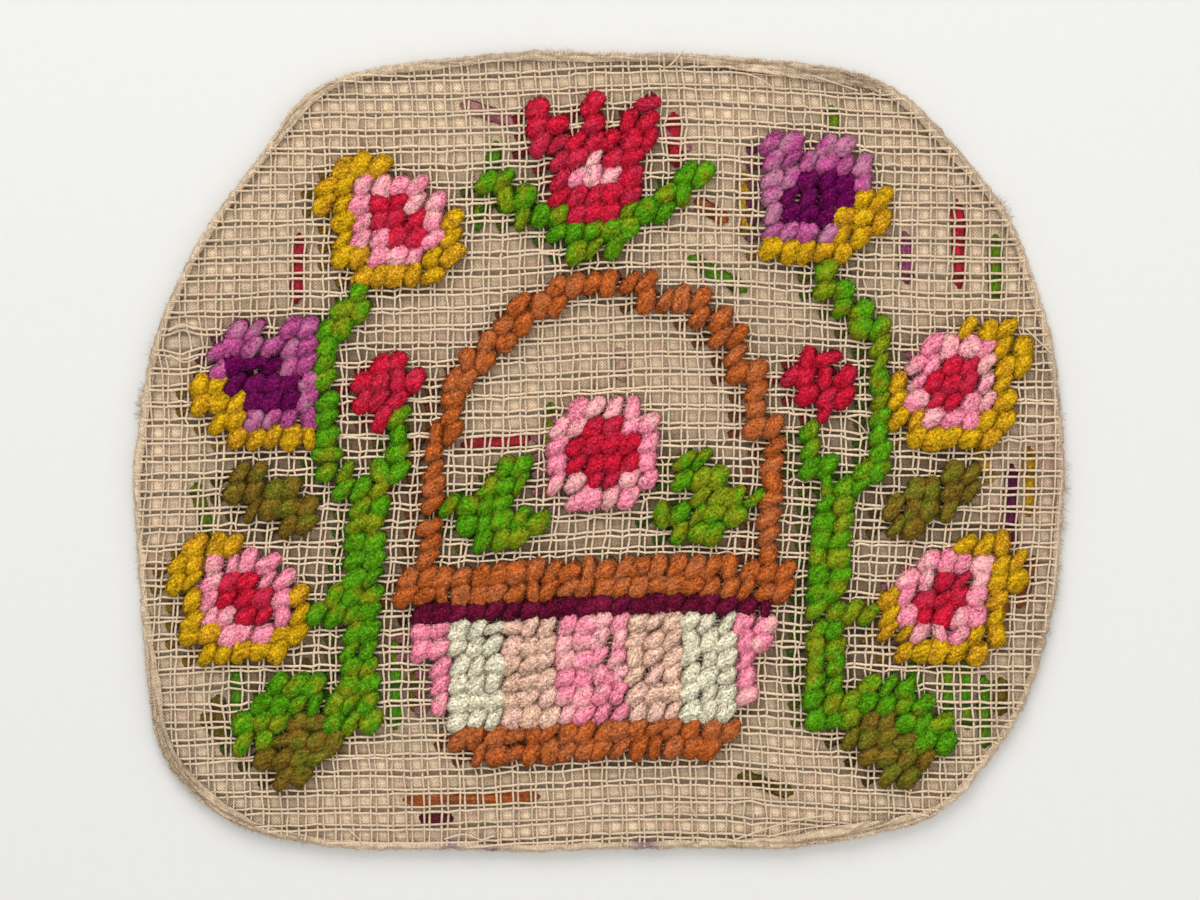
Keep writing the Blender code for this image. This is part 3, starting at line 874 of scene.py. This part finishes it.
# Frayed places and loose threads
loose = {
    "fuzz": 4200,  # short hairs round the edge
    "fuzzLength": (0.25, 0.95),
    "frays": (  # place, fibres, length
        ((71.9, 42.5), 30, 1.7), ((83, -4.7), 26, 2), ((82.8, -11.3), 20, 1.7), ((83, 5.5), 12, 1.2),
        ((81.7, -18.6), 12, 1.2), ((81.6, -22.6), 14, 1.3), ((80.7, -25.7), 10, 1.2),
        ((79.5, -31), 10, 1), ((-81.9, 8.8), 60, 1.4), ((-79.5, 18.6), 14, 1.3), ((-77, 24), 8, 0.9),
        ((-6.6, 70.8), 18, 1.2), ((-62.7, -67), 14, 1), ((-58, -68.6), 10, 0.9), ((-55, -69.4), 8, 1.1),
        ((47, 66.6), 12, 1.1), ((-82, -20), 10, 1.1),
    ),
    "strands": (  # thickness, then the points of each, with heights
        (0.17, (12.4, 68.4, 2.9), (13.6, 69.6, 3.2), (14.5, 70.6, 3.1), (14.9, 71.2, 2.9)),
        (0.13, (-27.5, -68.9, 2.5), (-24.0, -68.0, 2.9), (-21.0, -68.9, 2.9), (-18.6, -68.3, 2.6)),
        (0.15, (24.0, -69.0, 2.8), (29.0, -67.2, 3.2), (35.0, -65.4, 3.2), (41.0, -64.6, 2.9)),
        (0.12, (30.0, -68.4, 3.0), (36.0, -67.0, 3.3), (42.0, -66.2, 3.1)),
        (0.12, (12.5, -64.6, 2.4), (14.0, -63.2, 2.8), (16.4, -63.4, 2.8), (17.2, -65.0, 2.4)),
        (0.13, (22.0, 67.6, 3.0), (26.5, 67.0, 3.4), (30.0, 65.4, 3.1), (31.2, 63.8, 2.5)),
        (0.11, (38.0, 66.8, 3.2), (42.0, 65.4, 3.4), (46.0, 64.2, 3.0)),
        (0.16, (-76.5, 21.5, 2.5), (-74.2, 22.6, 2.9), (-71.8, 21.8, 2.7)),
        (0.14, (-76.3, 17.2, 2.5), (-73.6, 15.9, 2.9), (-71.2, 16.8, 2.6)),
        (0.12, (56.5, -24.6, 2.4), (58.5, -25.8, 2.8), (59.4, -28.0, 2.5)),
        (0.13, (44.4, 6.0, 2.4), (46.2, 5.0, 2.8), (47.8, 3.0, 2.5)),
        (0.10, (-44.5, -67.2, 2.4), (-42.2, -69.4, 2.7), (-41.0, -71.6, 1.9)),
        (0.13, (75.8, 22.0, 2.5), (77.2, 20.6, 2.8), (79.0, 18.8, 3.1), (80.2, 17.6, 3.1)),
    ),
}


def addFibres(heap, start, way, length, size, chance):  # short curved fibres
    count = len(start)
    share = np.linspace(0, 1, 5)[None, :, None]
    side = unit(np.cross(way, chance.normal(0, 1, way.shape)))
    curve = chance.uniform(-0.5, 0.5, count)[:, None, None]
    centres = start[:, None] + way[:, None] * share * length[:, None, None]
    centres = centres + side[:, None] * curve * length[:, None, None] * share**2
    centres[:, :, 2] = np.maximum(centres[:, :, 2], 0.08)
    thick = size * (1.15 - share[:, :, 0]) * np.ones((count, 1))
    addTubes(heap, centres, thick, thick, 4, chance.uniform(0, 1, count), np.zeros(thick.shape))


def addFrays(heap, chance):
    for (x, y), count, length in loose["frays"]:
        nearest = nearestStep(x, y)
        place = edge[(nearest + chance.integers(-5, 6, count)) % len(edge)]
        out = -edgeInward[nearest]
        start = np.column_stack([place - out * 0.4, chance.uniform(1.0, 2.5, count)])
        way = np.column_stack([out + chance.normal(0, 0.55, (count, 2)), chance.normal(0, 0.35, count)])
        long = length * chance.uniform(0.4, 1.1, count) + 0.4
        addFibres(heap, start, unit(way), long, 0.06, chance)


def addFuzz(heap, chance):
    count = loose["fuzz"]
    which = chance.integers(0, len(edge), count)
    out = -edgeInward[which]
    inset = chance.uniform(0.0, 1.0, count) ** 2 * 1.4
    height = hemHeight(inset, which) - 0.15 - chance.uniform(0, 1.0, count) * (inset < 0.1)
    start = np.column_stack([edge[which] - out * inset[:, None], height])
    flat = out * 0.6 + chance.normal(0, 0.7, (count, 2))
    way = np.column_stack([flat, chance.uniform(-0.2, 0.6, count)])
    tip = start + unit(way) * chance.uniform(*loose["fuzzLength"], count)[:, None]
    addSpikes(heap, start, tip, 0.055, chance.uniform(0, 1, count), np.zeros(count))


heap = Heap()
chance = np.random.default_rng(23)
addFrays(heap, chance)
addFuzz(heap, chance)
for thick, *points in loose["strands"]:
    line = smoothLine(np.array(points), 6)[None]
    sizes = np.full(line.shape[:2], thick)
    addTubes(heap, line, sizes, sizes, 6, chance.uniform(0.4, 1, 1), sizes * 0)
makePiece("loose_threads", heap, canvasThread)

# The backing cloth
cloth = {
    "colour": (0.690, 0.525, 0.355),
    "weave": 0.56,  # from thread to thread
    "slotShadeAndDirt": (0.46, 0.08),  # painted shade and dirt: how dark it is between the threads of a pair across, of a pair up
    "flat": (0.175, 0.152),
    "area": 0.0229,
    "floorStep": 0.70,  # from ring to ring of its mesh
    "closest": 0.36,  # least way between two points of a ring
    "ground": 0.72,  # its height between the holes
    "groundWaves": ((0.14, 13.0, 3.0), (0.08, 4.5, 5.0)),
    "pillow": (0.70, 0.15),  # how far it swells up in each hole, far from the stitches and near
    "pressed": 0.75,  # how far from a length of yarn it is pressed flat, in columns
    "fadedHoles": 0.45,  # how strongly dye and dirt tint the holes that they reached
}
tints = {
    "brown": (0.210, 0.140, 0.085),
    "darkGrey": (0.085, 0.075, 0.070),
    "dust": (0.300, 0.215, 0.145),
    "violet": (0.210, 0.110, 0.200),
    "rose": (0.430, 0.180, 0.180),
    "clean": (0.900, 0.760, 0.580),
    "moss": (0.170, 0.160, 0.040),
}
# the dark grey tint darkens small patches among the stitches
stains = (  # place, size, tint, strength
    ((81, -2), 9, "rose", 0.45), ((79.5, -30), 12, "dust", 0.6), ((81.5, 12), 8, "dust", 0.55),
    ((62, 54), 9, "dust", 0.5), ((45, 66), 9, "brown", 0.35), ((12, 69.5), 9, "dust", 0.35),
    ((-20, 69), 10, "dust", 0.35), ((-74, -52), 9, "dust", 0.55), ((-58, -66), 9, "brown", 0.35),
    ((-80, 20), 9, "dust", 0.35), ((-26.5, -70), 2.2, "violet", 0.8), ((-19.4, -70), 2, "violet", 0.75),
    ((8.2, -70), 2.2, "violet", 0.8), ((24.2, -69.6), 2.4, "moss", 0.6), ((-66, -44), 7, "clean", 0.5),
    ((-52, -52), 5, "clean", 0.4), ((46, 4.5), 4, "clean", 0.6), ((-74.3, 19), 3.5, "clean", 0.6),
    ((58, -25), 6, "clean", 0.5), ((20, 52), 7, "rose", 0.3), ((-24, -1), 3, "darkGrey", 0.45),
    ((30, -4), 2.6, "darkGrey", 0.35), ((12, 40), 3, "darkGrey", 0.3), ((-52, -18), 2.6, "darkGrey", 0.4),
    ((8, -62.5), 3, "darkGrey", 0.35), ((62, -34), 2.4, "darkGrey", 0.3), ((75, -4), 6, "violet", 0.45),
    ((-60, 22), 5, "violet", 0.3), ((-69, -1), 6, "moss", 0.55), ((-63, -12), 5, "moss", 0.4),
    ((-46, 8), 5, "moss", 0.35), ((58, 30), 5, "violet", 0.3), ((72, -12), 6, "rose", 0.5),
    ((-30, 20), 4, "rose", 0.35),
)


def clothFinish():
    finish = Finish("backing_cloth")
    u, v = finish.plane("plane")
    column, row = finish.plane("mesh")
    stain = finish.fact("stain", 0)
    strength = finish.fact("stain", 3)
    under = finish.fact("under")
    soilAndShade = finish.fact("soilAndShade")
    place = finish.place()
    bent = finish.noise(finish.joined(u, v), 0.35)
    turns = tau / cloth["weave"]
    weave = ((u + bent * 0.5) * turns).sin() * ((v + bent * 0.5) * turns).sin()
    slubU = finish.noise(finish.joined(u * 0.12, v * 2.4), 1.0, 3.0)
    slubV = finish.noise(finish.joined(u * 2.4, v * 0.12, 7.0), 1.0, 3.0)
    betweenRows = (row * math.pi).sin().abs()
    betweenColumns = (column * math.pi).sin().abs()
    pillow = betweenRows.above(0.58, 0.96) * (0.25 + 0.75 * betweenColumns.above(0.58, 0.96))
    # painted shade with some dirt, in the slots between the two threads of a pair; deeper between the
    # pairs across
    slotShadeFactor = 1 - (1 - betweenRows.above(0.26, 0.62)) * cloth["slotShadeAndDirt"][0]
    slotShadeFactor = slotShadeFactor * (1 - (1 - betweenColumns.above(0.26, 0.62)) * cloth["slotShadeAndDirt"][1])
    patch = finish.noise(place, 0.06, 4.0)
    specks = finish.noise(place, 1.6, 2.0)
    mottle = finish.noise(place, 0.8, 4.0)
    shade = 1.04 + weave * 0.14 + (slubU - 0.5) * 0.8 + (slubV - 0.5) * 0.8 + (patch - 0.5) * 0.45
    shade = shade * (1 + (mottle - 0.5) * 0.9 * (1 - under * 0.7))
    # painted light in the middle of each hole and painted shade round its rim, then the painted slot shade
    shade = shade * (1 + under * (0.46 * pillow - 0.12)) * (1 - under * (1 - slotShadeFactor))
    shade = shade * (1 - 0.5 * specks.above(0.66, 0.78) * under)
    hole = finish.node("VectorMath", {"operation": "FLOOR"}, {0: finish.joined(column, row)})
    dyed = finish.node("TexWhiteNoise", values={"Vector": hole})
    faded = dyed.above(0.90, 0.98) * cloth["fadedHoles"] * pillow * under
    dirty = (1 - dyed.above(0.03, 0.14)) * cloth["fadedHoles"] * pillow * under
    base = finish.mix(faded, cloth["colour"], tints["rose"])
    base = finish.mix(dirty, base, tints["dust"])
    blot = strength * (0.45 + 1.1 * patch) * (1 - under * 0.75 * (1 - dyed))  # holes differ
    base = finish.mix(blot, base, stain)
    # painted shade with some dirt: browner in the folds, under the hem and where the stitches lift the
    # canvas
    base = finish.mix(soilAndShade * (0.5 + patch), base, tints["brown"])
    finish.set(Base_Color=finish.scaled(base, shade), Roughness=0.93, Sheen_Weight=0.12)
    finish.set(Specular_IOR_Level=0.15)
    fuzz = finish.noise(place, 2.6, 3.0)
    finish.bump(weave * 0.5 + slubU * 1.2 + slubV * 1.2 + fuzz * 1.1 + pillow * under * 1.2, 0.2, 1.0)
    return finish.material


def foldTable(chance):  # start and end, each round the edge and over the roll, depth, width
    rows = []
    for number in range(hem["folds"]):
        start = chance.uniform(0, edgeLength)
        over = chance.uniform(1.6, 6.0)
        end = start + chance.uniform(1.0, 6.5)
        depth = chance.uniform(*hem["foldDepth"])
        slanted = over + chance.normal(0, 1.0)
        rows.append((start, over, end, slanted, depth, chance.uniform(*hem["foldWidth"])))
    for (x, y), length, over, slant, depth in hem["creases"]:
        start = nearestStep(x, y) * edgeLength / len(edge)
        rows.append((start, over, start + length, over + slant, depth, hem["creaseWidth"]))
    return rows


def makeCloth(chance):
    count = len(edge)
    around = np.arange(count) * edgeLength / count
    rows = []  # rings, each with its places on the flat cloth and its soil-and-shade value
    over = np.zeros(count)
    folds = foldTable(chance)
    rough = ripples(hem["rough"], *edge.T)
    before = section[0]
    for ring in section:
        over = over + np.hypot(*(ring - before).T)
        before = ring
        inset, height = ring[:, 0].copy(), ring[:, 1].copy()
        dip = np.zeros(count)
        for startS, startO, endS, endO, depth, width in folds:
            for turn in (-edgeLength, 0, edgeLength):
                if endS + turn < -5 or startS + turn > edgeLength + 5:
                    continue
                away = awayFrom(around, over, (startS + turn, startO), (endS + turn, endO))
                dip += depth * falloff(away, width)
        dip *= 0.5 + 0.5 * edgeCover
        dip += ripples(hem["wrinkles"], edge[:, 0] + over * 1.1, edge[:, 1] + over * 0.9)
        free = smoothStep(over / 1.2)
        height -= np.clip(dip, -0.3, 0.75) * free * smoothStep((height - 1.0) / 1.2)
        inset += np.minimum(dip, 0.6) * 0.6 * free * (inset < 0.6)
        inset += rough * smoothStep((1.1 - inset) / 0.8)
        flat = edge + edgeInward * inset[:, None]
        bent = np.column_stack([flat, np.maximum(height, 0)])
        # the third value is painted shade in the folds of the roll
        rows.append((bent, edge - edgeInward * (over - 1.2)[:, None], np.clip(0.6 * dip, 0, 0.32)))
    tip = rows[-1][0]
    under = np.maximum(tip[:, 2] - hem["thick"], 1.2)
    wall = edge + edgeInward * hem["wall"]
    for flat, height in ((tip[:, :2] - edgeInward * 0.03, under), (wall, under), (wall, hem["floor"])):
        # soil-and-shade of 0.4: painted shade under the flap and down its wall
        rows.append((np.column_stack([flat, height + np.zeros(count)]), flat, np.full(count, 0.4)))
    return rows


def floorHeight(x, y):
    column, row = meshPlace(x, y)
    pillow = abs(np.sin(math.pi * row)) ** 0.8 * (0.62 + 0.38 * abs(np.sin(math.pi * column)))
    ground = cloth["ground"] + ripples(cloth["groundWaves"], x, y)
    swell = blend(*cloth["pillow"], fromGrid(roundWork, x, y))
    for places in floats.values():  # yarn behind the canvas presses it flat
        for place in places:
            away = awayFrom(column, row, place[:2], place[2:4])
            swell = swell * (1 - falloff(away, cloth["pressed"], 4))
    return ground + swell * pillow - 0.15 * fromGrid(nearWork, x, y)


def joinRings(outer, inner):  # equal rings give quads, and a ring of half as many gives triangles
    faces = []
    for here, corner in enumerate(inner):
        after = inner[(here + 1) % len(inner)]
        if len(outer) == len(inner):
            faces.append((outer[here], outer[(here + 1) % len(outer)], after, corner))
            continue
        first, second, third = (outer[(2 * here + step) % len(outer)] for step in range(3))
        faces += [(first, second, corner), (second, after, corner), (second, third, after)]
    return faces


def clothPiece():
    rows = makeCloth(np.random.default_rng(5))
    hemCount = len(rows)
    wall = rows[-1][1]
    reach = np.hypot(*wall.T).mean()
    share = 1.0
    step = 1
    while share * reach > 2.0:
        share -= cloth["floorStep"] / reach
        spacing = tau * reach * share / (hem["steps"] / step)
        while spacing < cloth["closest"] and hem["steps"] % (step * 2) == 0:
            step *= 2
            spacing *= 2
        flat = wall[::step] * share
        height = floorHeight(*flat.T)
        height = blend(height, hem["floor"], 1 - smoothStep((1 - share) * reach / 3))
        # soil-and-shade near the stitches: painted shade where they lift the canvas off the cloth, with
        # some discolouring
        rows.append((np.column_stack([flat, height]), flat, 0.95 * fromGrid(roundWork, *flat.T) ** 1.4))
    rings, planes, soilAndShadeValues = zip(*rows)
    starts = np.concatenate([[0], np.cumsum([len(ring) for ring in rings])])
    index = [list(range(first, after)) for first, after in zip(starts, starts[1:])]
    faces = []
    for outer, inner in zip(index, index[1:]):
        if len(outer) > 2 * len(inner):
            raise ValueError("a ring was thinned twice at one step")
        faces += joinRings(outer, inner)
    faces.append(tuple(index[-1]))
    faces.append(tuple(reversed(index[0])))
    points = np.concatenate(rings)
    under = (np.arange(len(points)) >= starts[hemCount - 1]).astype(float)
    mesh = newMesh("backing_cloth_sheet", points, faces)
    corner = np.empty(len(mesh.loops), np.int32)
    mesh.loops.foreach_get("vertex_index", corner)
    putPlane(mesh, "plane", np.concatenate(planes)[corner])
    putPlane(mesh, "mesh", np.column_stack(meshPlace(*points[:, :2].T))[corner])
    colour = np.zeros((len(points), 4))
    for (x, y), size, tint, strength in stains:
        away = np.hypot(points[:, 0] - x, points[:, 1] - y)
        share = strength * falloff(away, size)[:, None]
        part = share / (share + colour[:, 3:] + 1e-6)
        colour[:, :3] = colour[:, :3] * (1 - part) + np.array(tints[tint]) * part
        colour[:, 3] = np.maximum(colour[:, 3], share[:, 0])
    stain = mesh.attributes.new("stain", "FLOAT_COLOR", "POINT")
    stain.data.foreach_set("color", colour.astype(np.float32).ravel())
    putFact(mesh, "under", under)
    putFact(mesh, "soilAndShade", np.concatenate(soilAndShadeValues))
    return newPiece(mesh, clothFinish())


backing = clothPiece()
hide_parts("backing_cloth")

print("sheets:", ", ".join(piece.name for piece in (backing, canvasPiece)))

# The room
studio = {
    "floor": (0.70, 0.70, 0.685),
    "lens": 85.0,
    "viewWidth": 213.2,
    "viewMiddle": (0.2, 0.3),
    "faceHeight": 3.0,
}
bpy.ops.object.select_all(action="DESELECT")
bpy.ops.mesh.primitive_plane_add(size=3.0)
floor = bpy.context.object
floor.name = "floor"
paper = Finish("floor_paper")
grain = paper.noise(paper.place(), 0.5, 3.0)
paper.set(Base_Color=paper.scaled(studio["floor"], 0.98 + grain * 0.04), Roughness=0.8)
floor.data.materials.append(paper.material)

lamps = (  # name, place, size, power
    ("key", (-0.14, 0.62, 0.62), 0.55, 4.6),
    ("fill", (0.55, -0.35, 0.70), 0.70, 1.6),
    ("top", (0.0, 0.0, 1.20), 0.90, 3.4),
)
for name, place, size, power in lamps:
    bpy.ops.object.light_add(type="AREA", location=place)
    lamp = bpy.context.object
    lamp.name = name
    lamp.data.size = size
    lamp.data.energy = power
    away = np.array(place)
    tilt = math.acos(away[2] / np.linalg.norm(away))
    lamp.rotation_euler = (tilt, 0, math.atan2(away[0], -away[1]))

world = bpy.data.worlds.new("soft_room")
world.use_nodes = True
world.node_tree.nodes["Background"].inputs["Color"].default_value = (1.0, 0.99, 0.97, 1.0)
world.node_tree.nodes["Background"].inputs["Strength"].default_value = 0.55
bpy.context.scene.world = world
bpy.context.scene.view_settings.view_transform = "Standard"

bpy.ops.object.camera_add()
camera = bpy.context.object
camera.data.lens = studio["lens"]
distance = studio["viewWidth"] * studio["lens"] / camera.data.sensor_width + studio["faceHeight"]
camera.location = (studio["viewMiddle"][0] * mm, studio["viewMiddle"][1] * mm, distance * mm)
camera.data.clip_start = 0.01
bpy.context.scene.camera = camera
print("camera:", round(distance), "mm up")
